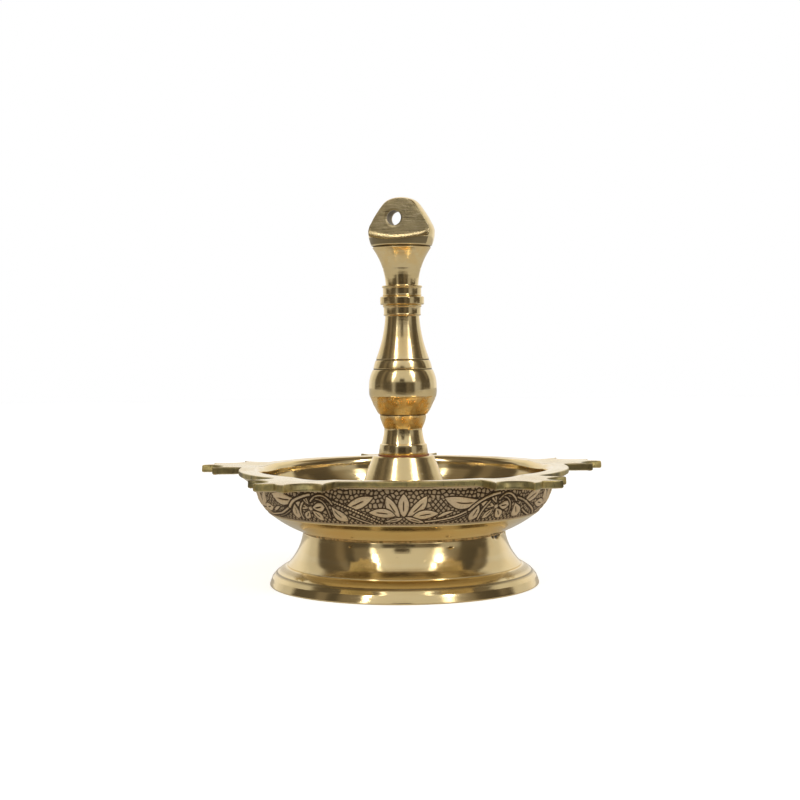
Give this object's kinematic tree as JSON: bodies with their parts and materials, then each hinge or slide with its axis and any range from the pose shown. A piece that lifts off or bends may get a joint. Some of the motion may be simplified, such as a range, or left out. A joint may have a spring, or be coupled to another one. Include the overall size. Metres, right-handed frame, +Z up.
{
  "type": "oil lamp",
  "caption": "Footed brass oil lamp: an open dish with lipped wick spouts and an engraved band, a centre boss, and a turned screw-in handle with a hanging eye.",
  "frame": {"origin": "on the lamp's axis, in the plane of the foot's underside", "axes": "+Z up along the lamp's axis; +Y towards one wick spout; +X to the right of it, seen from -Y"},
  "size_m": [0.1206, 0.1148, 0.1117],
  "materials": {
    "foot_brass": "polished, fine turning lines",
    "braze": "as flowed, with small pits",
    "dish_brass": "polished, with an engraved band darkened in its recesses",
    "boss_brass": "polished, fine turning lines",
    "fastener_brass": "machined, dull",
    "seal": "thin oiled fibre",
    "handle_brass": "polished, fine turning lines, filed flats"
  },
  "bodies": {
    "base": {"foot": "foot_brass", "foot_braze": "braze", "dish": "dish_brass", "centre_boss": "boss_brass", "clamp_washer": "fastener_brass", "clamp_nut": "fastener_brass"},
    "seal": {"seal_washer": "seal"},
    "handle": {"handle": "handle_brass", "handle_stud": "fastener_brass"}
  },
  "joints": [
    {"name": "handle_rise", "type": "slide", "parent": "base", "child": "seal", "axis": [0, 0, 1], "range_m": [0, 0.00937]},
    {"name": "handle_turn", "type": "hinge", "parent": "seal", "child": "handle", "pos_m": [0, 0, 0.05], "axis": [0, 0, 1], "range_deg": [0, 2720]}
  ],
  "couplings": [
    {"joint": "handle_turn", "follows": "handle_rise", "rad_per_m": 5026.5}
  ]
}
